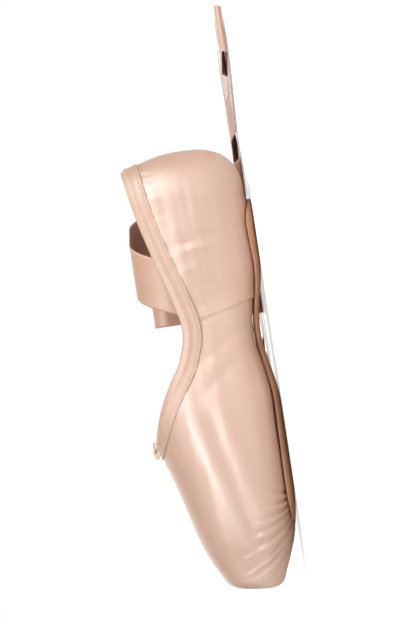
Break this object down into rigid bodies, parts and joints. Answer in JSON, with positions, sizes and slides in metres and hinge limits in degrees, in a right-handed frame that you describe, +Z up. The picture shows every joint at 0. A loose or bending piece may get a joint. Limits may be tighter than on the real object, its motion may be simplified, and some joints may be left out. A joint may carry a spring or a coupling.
{
  "type": "pointe shoe",
  "caption": "Satin ballet pointe shoe with a stiff toe box and flat platform, drawstring collar, narrow leather outsole and two satin ribbons lying loose.",
  "frame": {"origin": "on the floor under the middle of the shoe's length and width, ribbons and knot left out", "axes": "+X to the toe, +Y to the shoe's left, +Z up"},
  "size_m": [0.2966, 0.2695, 0.0695],
  "materials": {
    "satin": "peach pink satin",
    "sole_leather": "tan leather with a matt grain",
    "insole": "cream cotton",
    "binding": "peach pink satin tape",
    "drawstring": "peach pink cotton cord",
    "ribbon": "peach pink satin ribbon"
  },
  "bodies": {
    "root": {"upper": "satin", "outsole": "sole_leather", "insole": "insole", "collar_binding": "binding", "drawstring_knot": "drawstring", "ribbon_inner": "ribbon", "ribbon_outer": "ribbon"}
  },
  "joints": []
}
